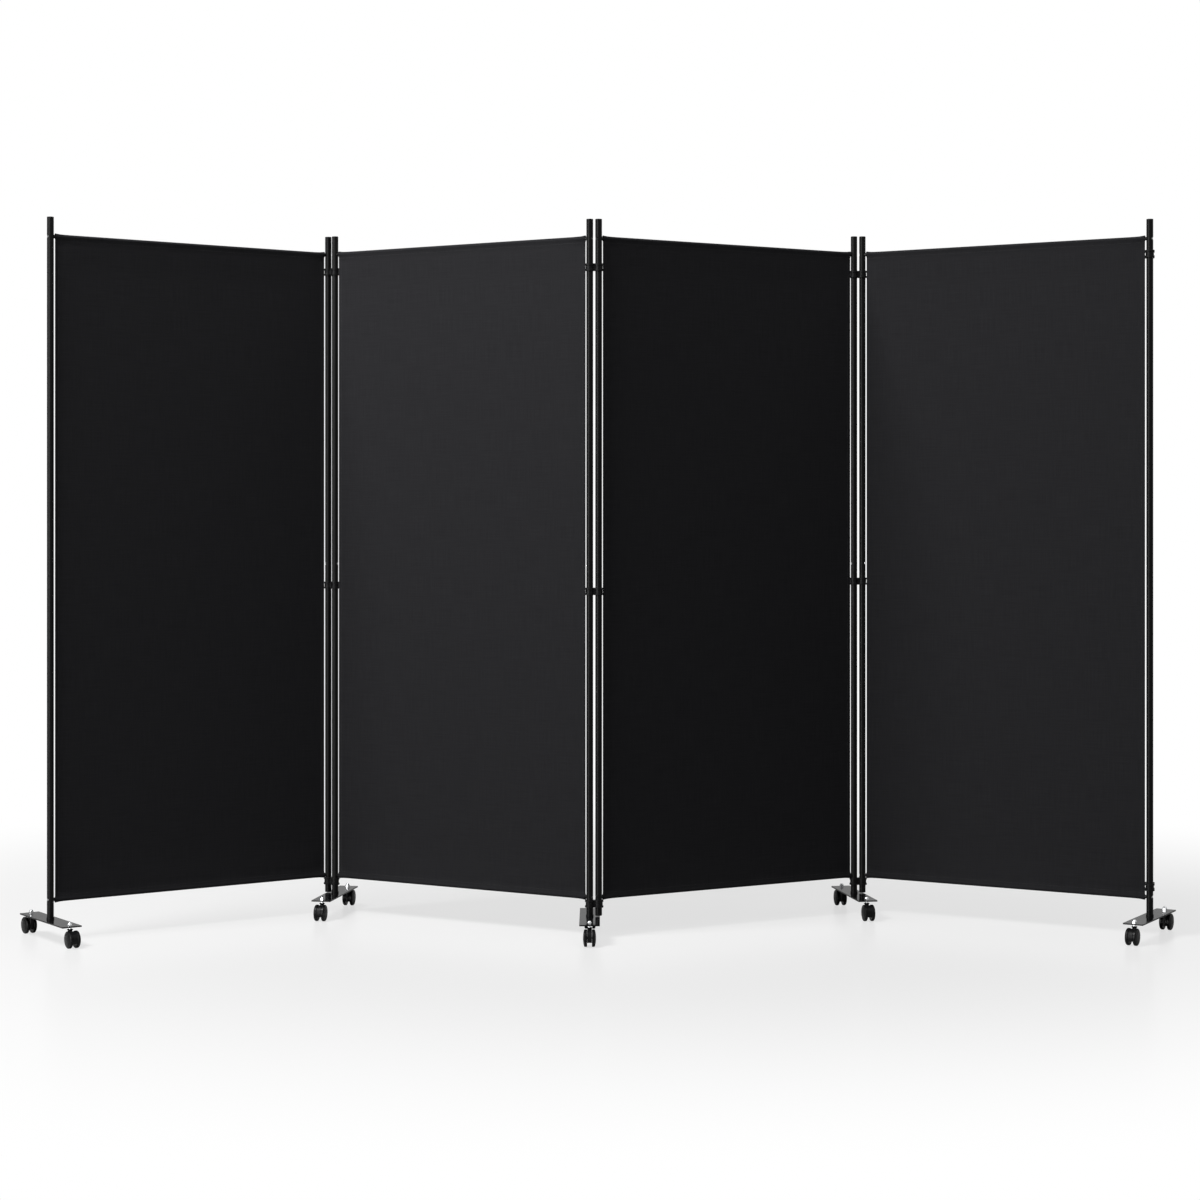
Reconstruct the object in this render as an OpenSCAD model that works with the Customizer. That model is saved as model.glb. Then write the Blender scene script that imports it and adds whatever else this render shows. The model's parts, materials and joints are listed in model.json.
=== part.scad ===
// A folding privacy screen: four stretched fabric panels in a zigzag, on feet with twin-wheel casters.
// Lengths are in millimetres and angles in degrees. The screen stands on the floor at z = 0, X runs
// along it from its left end to its right end, and Y runs from its front to its back. The origin is
// on the floor, in the middle of the space that the screen takes up.

/* [Layout] */
// Distance between the axes of a panel's two posts
panel_pitch = 740; // [400:5:1100]
// Directions of the panels, counter-clockwise from +X
panel_turn = [35, -30, 30, -30]; // [-60:1:60]
// Directions of the clips at the three joints, and of the free clips at the right end
clip_turn = [-30, 0, 0, 78]; // [-90:1:90]
// Directions of the feet of the two end posts, counter-clockwise from +Y
end_foot_turn = [35, -30]; // [-90:1:90]
// Directions of the three feet between them, counter-clockwise from +Y
inner_foot_turn = [-10, 0, 10]; // [-90:1:90]

/* [Posts] */
// Height of the screen, from the floor to the tops of the posts
screen_height = 1698; // [1400:1:2200]
// Outer diameter of a post
post_d = 16; // [13:0.5:28]
// Wall of the post tubes
post_wall = 1.2; // [0.8:0.1:1.8]
// Height of the joint between the lower and the upper tube of a post
tube_joint_z = 856; // [500:1:1100]
// Bevel on both tubes where they meet
tube_bevel = 0.6; // [0.2:0.1:0.8]
// Length of the swaged spigot inside the upper tube
spigot_l = 45; // [35:1:90]
// Height of the rounded plug on the end of a post
plug_h = 2.5; // [1.5:0.5:6]
// Length of a plug inside its tube
plug_shank_l = 14; // [8:1:30]
// Height of the collar that carries a standing post
collar_h = 4; // [2:0.5:10]
// How far the collar stands out around the post
collar_rim = 1; // [0.5:0.5:5]
// Gap between a hanging post and the foot plate that it passes over
hang_gap = 2; // [1:0.5:10]

/* [Snap buttons] */
// Height of a snap button above the joint between the tubes
button_rise = 21; // [12:1:25]
// Diameter of a snap button
button_d = 5.5; // [3:0.5:7]
// How far a snap button stands out of its post
button_proud = 0.7; // [0.3:0.1:2]
// Width of the spring behind a snap button
button_spring_w = 4; // [2:0.5:5]
// Thickness of that spring
button_spring_t = 0.5; // [0.3:0.1:0.8]
// Length of that spring below its button
button_spring_l = 13; // [8:1:16]

/* [Rails] */
// Diameter of the rails that stretch the fabric
rail_d = 8; // [6:0.5:14]
// Distance from the ends of a standing post to the rails
rail_inset = 46; // [42:1:80]
// Diameter of the screws that hold the rails
screw_d = 3; // [2:0.5:4]
// Diameter of the heads of those screws
screw_head_d = 4.2; // [4:0.1:6]
// Height of those heads
screw_head_h = 1; // [0.6:0.1:2]
// How far a screw reaches into its rail
screw_grip = 12; // [6:1:30]
// Depth of the dimple that is pressed into a post at each screw
dimple_depth = 3.3; // [1.5:0.1:4]
// Slope of the sides of a dimple, from level
dimple_slope = 24; // [10:1:45]
// Radius of the wheel-shaped tool that presses a dimple
dimple_tool_r = 20; // [15:1:40]

/* [Fabric] */
// Thickness of the fabric
fabric_t = 1.2; // [0.6:0.1:3]
// Gap between the fabric's edge and the clip rings
fabric_clear = 0.7; // [0.4:0.1:20]
// Slack of the sleeves around the rails
sleeve_slack = 0.2; // [0.1:0.1:2]
// Thickness of the fabric around the rails
sleeve_t = 0.7; // [0.4:0.1:2]
// Distance from the top or bottom edge of the fabric to the seam of its sleeve
sleeve_seam = 13; // [12:1:60]
// Width of the side hems
hem_w = 10; // [6:1:60]
// Thickness of the side hems
hem_t = 2.2; // [1.2:0.1:5]

/* [Clips] */
// Gap between the two posts of a joint
post_gap = 5; // [4.5:0.5:20]
// Height of a clip
clip_h = 17.5; // [10:0.5:30]
// Wall of a clip ring at its flanges
clip_wall = 3.24; // [2:0.02:4]
// Depth of the recess between the flanges of a ring
clip_recess = 1.6; // [0.2:0.1:1.6]
// Height of each flange
clip_flange_h = 4.75; // [2:0.25:4.75]
// Bevel on the edges of the flanges
clip_bevel = 0.5; // [0.2:0.1:1]
// Thickness of the web between the two rings of a clip
clip_web_t = 11; // [4:0.5:14]
// Distance of the top clips below the top rails, at the three joints and at the right end
top_clip_drop = [42.5, 68, 49, 36]; // [20:0.5:300]
// Distance of the middle clips below the joint between the tubes, at the three joints
middle_clip_drop = [33, 38, 23]; // [15:0.5:300]
// Gap between the bottom rails and the bottom clips
bottom_clip_gap = 3.25; // [1:0.25:8]
// Height of the lower free clip above the bottom rail
end_clip_rise = 23; // [15:1:300]

/* [Feet] */
// Length of a foot plate
plate_l = 256; // [180:1:400]
// Width of a foot plate
plate_w = 48; // [30:1:80]
// Thickness of a foot plate
plate_t = 3; // [2:0.5:6]
// Radius of the corners of a foot plate
plate_corner_r = 2; // [0.5:0.5:10]
// Distance from a caster's stem to the end of its foot plate
stem_inset = 13; // [8:1:40]
// Diameter of the bolt that holds a foot plate to its post
foot_bolt_d = 6; // [4:0.5:7]
// Diameter of the head of that bolt
foot_bolt_head_d = 10; // [9:0.5:14]
// Height of the head of that bolt
foot_bolt_head_h = 2.8; // [1.5:0.1:5]
// How far that bolt reaches into the post
foot_bolt_grip = 15; // [8:1:17]

/* [Casters] */
// Diameter of the wheels
wheel_d = 40; // [30:1:60]
// Width of a wheel
wheel_w = 9.6; // [7:0.1:20]
// How much narrower a wheel is at its tread than at its hub
wheel_crown = 2.9; // [1:0.1:4]
// Rounding of the outer edge of a wheel's tread
tread_r = 1.5; // [0.5:0.1:1.5]
// Distance between a caster's stem and its axle
caster_trail = 14; // [8:0.5:18]
// Diameter of the axle
axle_d = 5; // [3:0.5:6]
// Diameter of a caster's stem below the plate
stem_d = 8; // [6:0.5:12]
// Diameter of the threaded end of a stem
stem_thread_d = 6; // [4:0.5:6]
// Length of the stem that shows between the caster and the plate
stem_show = 3; // [1:0.5:10]
// Wall of the caster's neck around the stem
neck_wall = 1.25; // [1:0.05:4]
// Height of the rounded cap on the caster's neck
cap_h = 3.4; // [2:0.1:8]
// How far the cap stands out around the neck
cap_rim = 1.6; // [0.5:0.1:4]
// Height of the caster's body above the floor
body_lift = 11.4; // [6:0.1:14]
// Distance of the caster's body inside the treads of the wheels
body_inset = 1.5; // [1:0.1:5]
// Wall of the caster's body around its hollow underside
body_wall = 1.3; // [1:0.1:2]
// Width of a dome nut across its flats
nut_w = 10; // [9:0.5:16]
// Height of the hexagon of a dome nut
nut_hex_h = 4.5; // [3:0.5:8]
// Height of the dome above it
nut_dome_h = 4.3; // [2:0.1:6]

/* [Hidden] */
$fn = 72;
// Radial gap between a shaft and the hole that it turns in
run_gap = 0.06;
// Radial gap around a fastener, plug or axle that stays put
seat_gap = 0.04;
// Gap between faces that turn over each other
face_gap = 0.3;
// Spare length that a cut runs past the faces of what it cuts
over = 1;

panels = len(panel_turn);
feet = 5;
post_r = post_d / 2;
bore_r = post_r - post_wall;
spigot_r = bore_r - seat_gap;
spigot_bore_r = spigot_r - post_wall;
// The tube narrows inside over this length below its spigot
swage_l = 6;
rail_r = rail_d / 2;
screw_r = screw_d / 2;
button_r = button_d / 2;

wheel_r = wheel_d / 2;
axle_r = axle_d / 2;
stem_r = stem_d / 2;
neck_r = stem_r + run_gap + neck_wall;
wheel_face = neck_r + face_gap;
wheel_out = wheel_face + wheel_w;
cap_z = wheel_d + 2 * face_gap;
body_r = wheel_r - body_inset;
plate_z = cap_z + cap_h + stem_show;
plate_top = plate_z + plate_t;
stem_at = plate_l / 2 - stem_inset;

top_rail_z = screen_height - rail_inset;
bottom_rail_z = plate_top + rail_inset;
clip_bore_r = post_r + run_gap;
clip_r = clip_bore_r + clip_wall;
clip_pitch = post_d + post_gap;
fabric_x = clip_r + fabric_clear;
sleeve_r = rail_r + sleeve_slack + sleeve_t;

// Where a panel's left post stands on a foot, and where its right post does
left_stands = [true, true, false, false];
right_stands = [false, true, true, true];
// The panels that carry the feet, and whether it is by their left posts
foot_panel = [0, 1, 1, 2, 3];
foot_on_left = [true, true, false, false, false];

function towards(turn) = [cos(turn), sin(turn), 0];
function left_axis(i) = i == 0 ? [0, 0, 0] : right_axis(i - 1) + clip_pitch * towards(clip_turn[i - 1]);
function right_axis(i) = left_axis(i) + panel_pitch * towards(panel_turn[i]);
function foot_axis(k) = foot_on_left[k] ? left_axis(foot_panel[k]) : right_axis(foot_panel[k]);
function foot_turn(k) =
    k == 0 ? end_foot_turn[0] : k == feet - 1 ? end_foot_turn[1] : inner_foot_turn[k - 1];

// How far a foot with its casters reaches from its post, along X and along Y
wheel_tip = stem_at + caster_trail + wheel_r;
function foot_reach_x(k) =
    let (s = abs(sin(foot_turn(k))), c = abs(cos(foot_turn(k))))
    max(plate_l / 2 * s + plate_w / 2 * c, wheel_tip * s + wheel_out * c);
function foot_reach_y(k) =
    let (s = abs(sin(foot_turn(k))), c = abs(cos(foot_turn(k))))
    max(plate_l / 2 * c + plate_w / 2 * s, wheel_tip * c + wheel_out * s);

// The middle of the floor space
every_foot = [0:feet - 1];
low_x = min([for (k = every_foot) foot_axis(k).x - foot_reach_x(k)]);
high_x = max([for (k = every_foot) foot_axis(k).x + foot_reach_x(k)]);
low_y = min([for (k = every_foot) foot_axis(k).y - foot_reach_y(k)]);
high_y = max([for (k = every_foot) foot_axis(k).y + foot_reach_y(k)]);
middle = [(low_x + high_x) / 2, (low_y + high_y) / 2, 0];

ENDS = ["front", "rear"];

FABRIC_BLACK = "#242427";
COATED_BLACK = "#1c1c1c";
PLASTIC_BLACK = "#141414";
BRIGHT_ZINC = "#c9ccd0";
GLOSSY_BLACK = "#202124";

// Places a piece that is drawn with its panel's left post on the Z axis and the panel along +X
module on_panel(i) {
    translate(left_axis(i) - middle) rotate(panel_turn[i]) children();
}

// Places a piece that is drawn with its post on the Z axis and the rails leaving along +X
module on_post(i, left) {
    on_panel(i) translate([left ? 0 : panel_pitch, 0, 0]) rotate(left ? 0 : 180) children();
}

// Places a piece that is drawn with its post on the Z axis and the foot along Y
module on_foot(k) {
    translate(foot_axis(k) - middle) rotate(foot_turn(k)) children();
}

// Places a piece that is drawn with the stem on the Z axis and the wheels trailing along +X
module on_stem(k, end) {
    side = end == "front" ? -1 : 1;
    on_foot(k) translate([0, side * stem_at, 0]) rotate(side * 90) children();
}

// Lays a cylinder along +X, from x = 0
module along_x(r, l) {
    rotate([0, 90, 0]) cylinder(r = r, h = l);
}

// Posts

function tube_bottom_z(stands) =
    stands ? plate_top + face_gap / 3 + collar_h : plate_top + hang_gap + plug_h;

module lower_tube(stands) {
    z = tube_bottom_z(stands);
    rotate_extrude() polygon([
        [bore_r, z],
        [post_r, z],
        [post_r, tube_joint_z - tube_bevel],
        [post_r - tube_bevel, tube_joint_z],
        [spigot_r, tube_joint_z],
        [spigot_r, tube_joint_z + spigot_l],
        [spigot_bore_r, tube_joint_z + spigot_l],
        [spigot_bore_r, tube_joint_z - swage_l],
        [bore_r, tube_joint_z - 2 * swage_l]
    ]);
}

module upper_tube() {
    z = screen_height - plug_h;
    rotate_extrude() polygon([
        [bore_r, tube_joint_z],
        [post_r - tube_bevel, tube_joint_z],
        [post_r, tube_joint_z + tube_bevel],
        [post_r, z],
        [bore_r, z]
    ]);
}

// The wheel-shaped tool that presses a dimple, made larger all round by grow
module dimple_tool(grow) {
    rim = dimple_tool_r + grow;
    rim_h = screw_head_d / 2 + 0.1 + grow;
    deep = 2 * dimple_depth + grow;
    translate([dimple_depth - post_r - dimple_tool_r, 0, 0]) rotate_extrude() polygon([
        [rim - deep, -rim_h - deep * tan(dimple_slope)],
        [rim, -rim_h],
        [rim, rim_h],
        [rim - deep, rim_h + deep * tan(dimple_slope)]
    ]);
}

// Presses a dimple into the tube at height z, and drills it for the rail's screw
module dimpled(z) {
    difference() {
        union() {
            children();
            intersection() {
                translate([0, 0, z - post_d]) cylinder(r = post_r - post_wall / 2, h = 2 * post_d);
                translate([0, 0, z]) dimple_tool(post_wall);
            }
        }
        translate([0, 0, z]) dimple_tool(0);
        translate([-post_r, 0, z]) along_x(screw_r + seat_gap, post_d + over);
    }
}

module button_hole() {
    translate([0, 0, tube_joint_z + button_rise]) along_x(button_r + seat_gap, post_r + over);
}

module post(i, left) {
    stands = left ? left_stands[i] : right_stands[i];
    color(COATED_BLACK) on_post(i, left) {
        difference() {
            dimpled(bottom_rail_z) lower_tube(stands);
            button_hole();
        }
        difference() {
            dimpled(top_rail_z) upper_tube();
            button_hole();
        }
    }
}

// A plug whose rounded head ends at z = 0 and whose shank points up into the tube above it
module end_plug() {
    round_r = 0.45 * plug_h;
    rotate_extrude() {
        translate([0, round_r]) square([post_r, plug_h - round_r]);
        square([post_r - round_r, plug_h]);
        intersection() {
            translate([post_r - round_r, round_r]) circle(r = round_r);
            square([post_r, plug_h]);
        }
    }
    translate([0, 0, plug_h / 2]) cylinder(r = bore_r - seat_gap, h = plug_h / 2 + plug_shank_l);
}

// The collar plug of a standing post, with its bolt hole
module collar_plug() {
    shank_l = max(plug_shank_l, foot_bolt_grip + 3 - collar_h);
    difference() {
        union() {
            cylinder(r = post_r + collar_rim, h = collar_h);
            cylinder(r = bore_r - seat_gap, h = collar_h + shank_l);
        }
        translate([0, 0, -over]) cylinder(r = foot_bolt_d / 2 + run_gap, h = foot_bolt_grip + over + 1);
    }
}

module plugs(i) {
    color(PLASTIC_BLACK) for (left = [true, false]) on_post(i, left) {
        translate([0, 0, screen_height]) mirror([0, 0, 1]) end_plug();
        if (left ? left_stands[i] : right_stands[i])
            translate([0, 0, plate_top + face_gap / 3]) collar_plug();
        else
            translate([0, 0, plate_top + hang_gap]) end_plug();
    }
}

// A rail's screw, lying along +X from the floor of its dimple
module rail_screw() {
    floor_bulge = dimple_tool_r - sqrt(pow(dimple_tool_r, 2) - pow(screw_head_d / 2, 2));
    seat_x = dimple_depth - post_r - floor_bulge - seat_gap;
    translate([seat_x - screw_head_h, 0, 0]) along_x(screw_head_d / 2, screw_head_h);
    translate([seat_x - screw_head_h / 2, 0, 0])
        along_x(screw_r, post_r + screw_grip - seat_x + screw_head_h / 2);
}

// A domed button on a U-shaped spring that presses it out of the post
module snap_button() {
    leg_x = sqrt(pow(spigot_bore_r, 2) - pow(button_spring_w / 2, 2)) - 2 * seat_gap;
    inner_x = leg_x - button_spring_t;
    back_x = leg_x - button_spring_t / 2;
    rotate([0, 90, 0]) rotate_extrude() intersection() {
        translate([0, back_x]) square([button_r, post_r + button_proud - back_x]);
        translate([0, post_r + button_proud - button_d]) circle(r = button_d);
    }
    across(button_spring_w) {
        for (x = [-leg_x, inner_x])
            translate([x, -button_spring_l]) square([button_spring_t, button_spring_l + leg_x]);
        translate([0, -button_spring_l]) difference() {
            circle(r = leg_x);
            circle(r = inner_x);
            translate([-button_d, 0]) square([2 * button_d, button_d + over]);
        }
    }
}

module screws(i) {
    color(BRIGHT_ZINC) for (left = [true, false]) on_post(i, left) {
        for (z = [bottom_rail_z, top_rail_z]) translate([0, 0, z]) rail_screw();
        translate([0, 0, tube_joint_z + button_rise]) snap_button();
    }
}

// Rails

module rail() {
    hole_l = screw_grip + 2;
    difference() {
        translate([post_r / 2, 0, 0]) along_x(rail_r, panel_pitch - post_r);
        for (x = [0, panel_pitch]) translate([x, 0, -rail_d]) cylinder(r = post_r + seat_gap, h = 2 * rail_d);
        along_x(screw_r + seat_gap, post_r + hole_l);
        translate([panel_pitch - post_r - hole_l, 0, 0]) along_x(screw_r + seat_gap, post_r + hole_l);
    }
}

module rails(i) {
    color(COATED_BLACK) on_panel(i) for (z = [bottom_rail_z, top_rail_z]) translate([0, 0, z]) rail();
}

// Fabric

// Half of a panel's section, from its middle down to the sleeve around a rail at y = 0
module sleeve_outline(half_h) {
    seam = sleeve_seam - sleeve_r;
    side = acos(sleeve_r / seam);
    circle(r = sleeve_r);
    polygon([
        [-sleeve_r * sin(side), sleeve_r * cos(side)],
        [sleeve_r * sin(side), sleeve_r * cos(side)],
        [fabric_t / 2, seam],
        [-fabric_t / 2, seam]
    ]);
    translate([-fabric_t / 2, 0]) square([fabric_t, half_h]);
}

module fabric(i) {
    half_h = (top_rail_z - bottom_rail_z) / 2;
    width = panel_pitch - 2 * fabric_x;
    hem_h = 2 * (half_h - sleeve_seam);
    color(FABRIC_BLACK) on_panel(i) translate([fabric_x, 0, bottom_rail_z + half_h]) {
        rotate([90, 0, 90]) linear_extrude(width) difference() {
            union() {
                translate([0, -half_h]) sleeve_outline(half_h);
                mirror([0, 1]) translate([0, -half_h]) sleeve_outline(half_h);
            }
            for (y = [-half_h, half_h]) translate([0, y]) circle(r = rail_r + sleeve_slack);
        }
        for (x = [0, width - hem_w]) translate([x, -hem_t / 2, -hem_h / 2]) cube([hem_w, hem_t, hem_h]);
    }
}

// Clips

// One ring's solid, before its bore is cut: two bevelled flanges with a recess between them
module clip_ring() {
    low_r = clip_r - clip_recess;
    rotate_extrude() polygon([
        [0, 0],
        [clip_r - clip_bevel, 0],
        [clip_r, clip_bevel],
        [clip_r, clip_flange_h - clip_bevel],
        [low_r, clip_flange_h],
        [low_r, clip_h - clip_flange_h],
        [clip_r, clip_h - clip_flange_h + clip_bevel],
        [clip_r, clip_h - clip_bevel],
        [clip_r - clip_bevel, clip_h],
        [0, clip_h]
    ]);
}

// Two rings and the web between them, with one ring on the Z axis and the other along +X
module clip() {
    difference() {
        union() {
            for (x = [0, clip_pitch]) translate([x, 0, 0]) clip_ring();
            translate([0, -clip_web_t / 2, 0]) cube([clip_pitch, clip_web_t, clip_h]);
        }
        for (x = [0, clip_pitch])
            translate([x, 0, -over]) cylinder(r = clip_bore_r, h = clip_h + 2 * over);
    }
}

// Places a clip with its first ring on the right post of panel i, and its middle at height z
module clip_at(i, z) {
    color(PLASTIC_BLACK) translate(right_axis(i) - middle + [0, 0, z - clip_h / 2])
        rotate(clip_turn[i]) clip();
}

module joint_clips(i) {
    clip_at(i, bottom_rail_z - rail_r - bottom_clip_gap - clip_h / 2);
    clip_at(i, tube_joint_z - middle_clip_drop[i]);
    clip_at(i, top_rail_z - top_clip_drop[i]);
}

// Feet

module foot_plate(k) {
    corner_x = plate_w / 2 - plate_corner_r;
    corner_y = plate_l / 2 - plate_corner_r;
    color(GLOSSY_BLACK) on_foot(k) translate([0, 0, plate_z]) linear_extrude(plate_t) difference() {
        union() {
            square([plate_w, 2 * corner_y], center = true);
            square([2 * corner_x, plate_l], center = true);
            for (x = [-corner_x, corner_x], y = [-corner_y, corner_y])
                translate([x, y]) circle(r = plate_corner_r);
        }
        circle(r = foot_bolt_d / 2 + seat_gap);
        for (y = [-stem_at, stem_at]) translate([0, y]) circle(r = stem_thread_d / 2 + seat_gap);
    }
}

// The button-headed bolt that holds the plate to its post from below
module foot_bolt() {
    head_r = foot_bolt_head_d / 2;
    dome_r = (pow(head_r, 2) + pow(foot_bolt_head_h, 2)) / (2 * foot_bolt_head_h);
    intersection() {
        translate([0, 0, plate_z - foot_bolt_head_h]) cylinder(r = head_r, h = foot_bolt_head_h);
        translate([0, 0, plate_z - foot_bolt_head_h + dome_r]) sphere(r = dome_r);
    }
    translate([0, 0, plate_z - foot_bolt_head_h / 2])
        cylinder(r = foot_bolt_d / 2, h = foot_bolt_head_h / 2 + plate_t + foot_bolt_grip);
}

// The depth of a caster's neck, from its top down to the bottom of the stem's hole
neck_depth = cap_h + wheel_r - face_gap;

module caster_stem() {
    bottom_z = cap_z + cap_h - neck_depth + face_gap;
    translate([0, 0, bottom_z]) cylinder(r = stem_r, h = plate_z - bottom_z);
    translate([0, 0, plate_z - over])
        cylinder(r = stem_thread_d / 2, h = plate_t + nut_hex_h + over);
}

module dome_nut() {
    dome_w = nut_w / 2 * 0.96;
    dome_r = (pow(dome_w, 2) + pow(nut_dome_h, 2)) / (2 * nut_dome_h);
    translate([0, 0, plate_top]) difference() {
        union() {
            cylinder(r = nut_w / 2 / cos(30), h = nut_hex_h, $fn = 6);
            intersection() {
                cylinder(r = dome_w, h = nut_hex_h + nut_dome_h);
                translate([0, 0, nut_hex_h + nut_dome_h - dome_r]) sphere(r = dome_r);
            }
        }
        translate([0, 0, -over]) cylinder(r = stem_thread_d / 2 + seat_gap, h = nut_hex_h + over + 0.5);
    }
}

module foot_hardware(k) {
    color(BRIGHT_ZINC) on_foot(k) {
        foot_bolt();
        for (y = [-stem_at, stem_at]) translate([0, y, 0]) {
            caster_stem();
            dome_nut();
        }
    }
}

// Casters

// The caster's body between its wheels, drawn in side view with the axle at its place
module body_outline(r) {
    intersection() {
        translate([caster_trail, wheel_r]) circle(r = r);
        translate([caster_trail - wheel_d, body_lift]) square([2 * wheel_d, wheel_d]);
    }
}

// Extrudes a side view across the caster, between y = -w / 2 and y = w / 2
module across(w) {
    rotate([90, 0, 0]) translate([0, 0, -w / 2]) linear_extrude(w) children();
}

// The swivelling body: a hollow hood with a rib, an axle boss and a neck for the stem
module caster_body(k, end) {
    rib_t = body_wall;
    boss_r = axle_r + 2.5;
    color(PLASTIC_BLACK) on_stem(k, end) difference() {
        union() {
            difference() {
                across(2 * neck_r) body_outline(body_r);
                difference() {
                    across(2 * (neck_r - body_wall)) translate([0, -over]) body_outline(body_r - body_wall);
                    across(rib_t) body_outline(body_r);
                    across(2 * neck_r) translate([caster_trail, wheel_r]) circle(r = boss_r);
                    translate([0, 0, body_lift - 2 * over]) cylinder(r = neck_r, h = wheel_d);
                }
            }
            translate([0, 0, body_lift + body_wall]) cylinder(r = neck_r, h = cap_z - body_lift);
            caster_cap();
        }
        translate([0, 0, cap_z + cap_h - neck_depth])
            cylinder(r = stem_r + run_gap, h = neck_depth + over);
        translate([caster_trail, 0, wheel_r]) rotate([90, 0, 0]) translate([0, 0, -wheel_d])
            cylinder(r = axle_r + run_gap, h = 2 * wheel_d);
    }
}

// The rounded cap on top of the neck, above the wheels
module caster_cap() {
    cap_r = neck_r + cap_rim;
    dome_r = (pow(cap_r, 2) + pow(cap_h, 2)) / (2 * cap_h) + cap_h / 2;
    intersection() {
        translate([0, 0, cap_z]) cylinder(r = cap_r, h = cap_h);
        translate([0, 0, cap_z + cap_h - dome_r]) sphere(r = dome_r);
    }
}

// Half of a wheel's section, with the axle along Y, the inner face at y = 0 and the crowned face on top.
// The rounded edges of the tread and the crown are drawn by short chords
module wheel_section() {
    crown_r = (pow(wheel_r, 2) + pow(wheel_crown, 2)) / (2 * wheel_crown);
    tread_w = wheel_w - wheel_crown;
    edge_r = wheel_r - tread_r;
    groove_r = 0.72 * wheel_r;
    bore_r = axle_r + seat_gap;
    difference() {
        polygon([
            [0, 0],
            for (a = [-90:30:0]) [edge_r, tread_r] + tread_r * [cos(a), sin(a)],
            for (a = [0:30:60]) [edge_r, tread_w - tread_r] + tread_r * [cos(a), sin(a)],
            for (x = [edge_r:-edge_r / 7:edge_r / 8]) [x, wheel_w - crown_r + sqrt(pow(crown_r, 2) - pow(x, 2))],
            [0, wheel_w - crown_r + sqrt(pow(crown_r, 2) - pow(edge_r / 7, 2))]
        ]);
        translate([groove_r - 1, tread_w + wheel_crown / 4]) square([1, wheel_w]);
        translate([-bore_r, -over]) square([2 * bore_r, wheel_w * 0.6 + over]);
    }
}

// One wheel, on the Z axis with its inner face down at z = 0 and its crowned face up
module wheel() {
    rotate_extrude() wheel_section();
}

// Both wheels of a caster, with the axle that they turn on
module wheels(k, end) {
    axle_l = 2 * (wheel_face + wheel_w * 0.6 - seat_gap);
    on_stem(k, end) translate([caster_trail, 0, wheel_r]) rotate([90, 0, 0]) {
        color(PLASTIC_BLACK) for (side = [0, 1]) mirror([0, 0, side]) translate([0, 0, wheel_face]) wheel();
        color(BRIGHT_ZINC) translate([0, 0, -axle_l / 2]) cylinder(r = axle_r, h = axle_l);
    }
}

for (i = [0:panels - 1]) {
    fabric(i);
    rails(i);
    post(i, true);
    post(i, false);
    plugs(i);
    screws(i);
}
for (i = [0:panels - 2])
    joint_clips(i);
clip_at(panels - 1, top_rail_z - top_clip_drop[panels - 1]);  // end_clip_top
clip_at(panels - 1, bottom_rail_z + end_clip_rise);  // end_clip_bottom
for (k = [0:feet - 1]) {
    foot_plate(k);
    foot_hardware(k);
    for (end = ENDS) {
        caster_body(k, end);
        wheels(k, end);
    }
}
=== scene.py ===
"""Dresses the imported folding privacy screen: fabric covers, coated tubes, clips, feet and casters.

The frame gives every rigid piece its shape and place. This script gives each of them the surface of
its real material, puts a sewn cover on each panel's rails, and sets up the studio and the camera.
All sizes are in metres.
"""

import json
import logging
import math
import random
from dataclasses import dataclass
from enum import Enum
from typing import Callable, ClassVar

import bmesh
import bpy
from mathutils import Matrix, Vector

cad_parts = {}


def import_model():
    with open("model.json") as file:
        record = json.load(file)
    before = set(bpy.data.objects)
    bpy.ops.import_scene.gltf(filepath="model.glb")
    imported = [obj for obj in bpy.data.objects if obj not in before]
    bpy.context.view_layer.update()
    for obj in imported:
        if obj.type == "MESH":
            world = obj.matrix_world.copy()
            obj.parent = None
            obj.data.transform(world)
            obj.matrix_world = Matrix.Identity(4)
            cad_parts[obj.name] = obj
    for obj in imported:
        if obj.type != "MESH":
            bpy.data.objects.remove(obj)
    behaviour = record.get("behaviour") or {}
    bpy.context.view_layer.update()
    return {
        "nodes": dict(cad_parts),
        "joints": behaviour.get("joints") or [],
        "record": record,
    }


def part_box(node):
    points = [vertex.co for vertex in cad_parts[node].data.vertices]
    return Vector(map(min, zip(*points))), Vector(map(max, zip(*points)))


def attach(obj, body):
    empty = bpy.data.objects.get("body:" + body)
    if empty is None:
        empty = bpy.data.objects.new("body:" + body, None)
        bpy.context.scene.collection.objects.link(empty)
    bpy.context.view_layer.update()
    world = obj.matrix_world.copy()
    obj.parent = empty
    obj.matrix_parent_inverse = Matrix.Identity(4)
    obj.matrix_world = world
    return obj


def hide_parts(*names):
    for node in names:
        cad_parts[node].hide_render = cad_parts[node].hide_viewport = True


LOG = logging.getLogger("privacy_screen")

MM = 0.001
QUARTER_TURN = math.pi / 2
FULL_TURN = 2 * math.pi

# How close a vertex has to lie to an edge of the sheet, and how close to a seam, to be on it.
TOUCH = 1e-6
NEAR = 1e-5

# How far along an axis a face's unit normal has to point to count as facing that way.
FACING = 0.9

# The octaves of a finish's slow drift, and the range that soft noise mostly stays in.
DRIFT_DETAIL = 3.0
DRIFT_ROUGHNESS = 0.55
NOISE_RANGE = (0.3, 0.7)

Colour = tuple[float, float, float, float]
Socket = bpy.types.NodeSocket
WHITE: Colour = (1.0, 1.0, 1.0, 1.0)


# Shader nodes


class Curve(Enum):
    """How a value runs between the ends of its range."""

    STRAIGHT = "LINEAR"
    SOFT = "SMOOTHSTEP"


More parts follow.
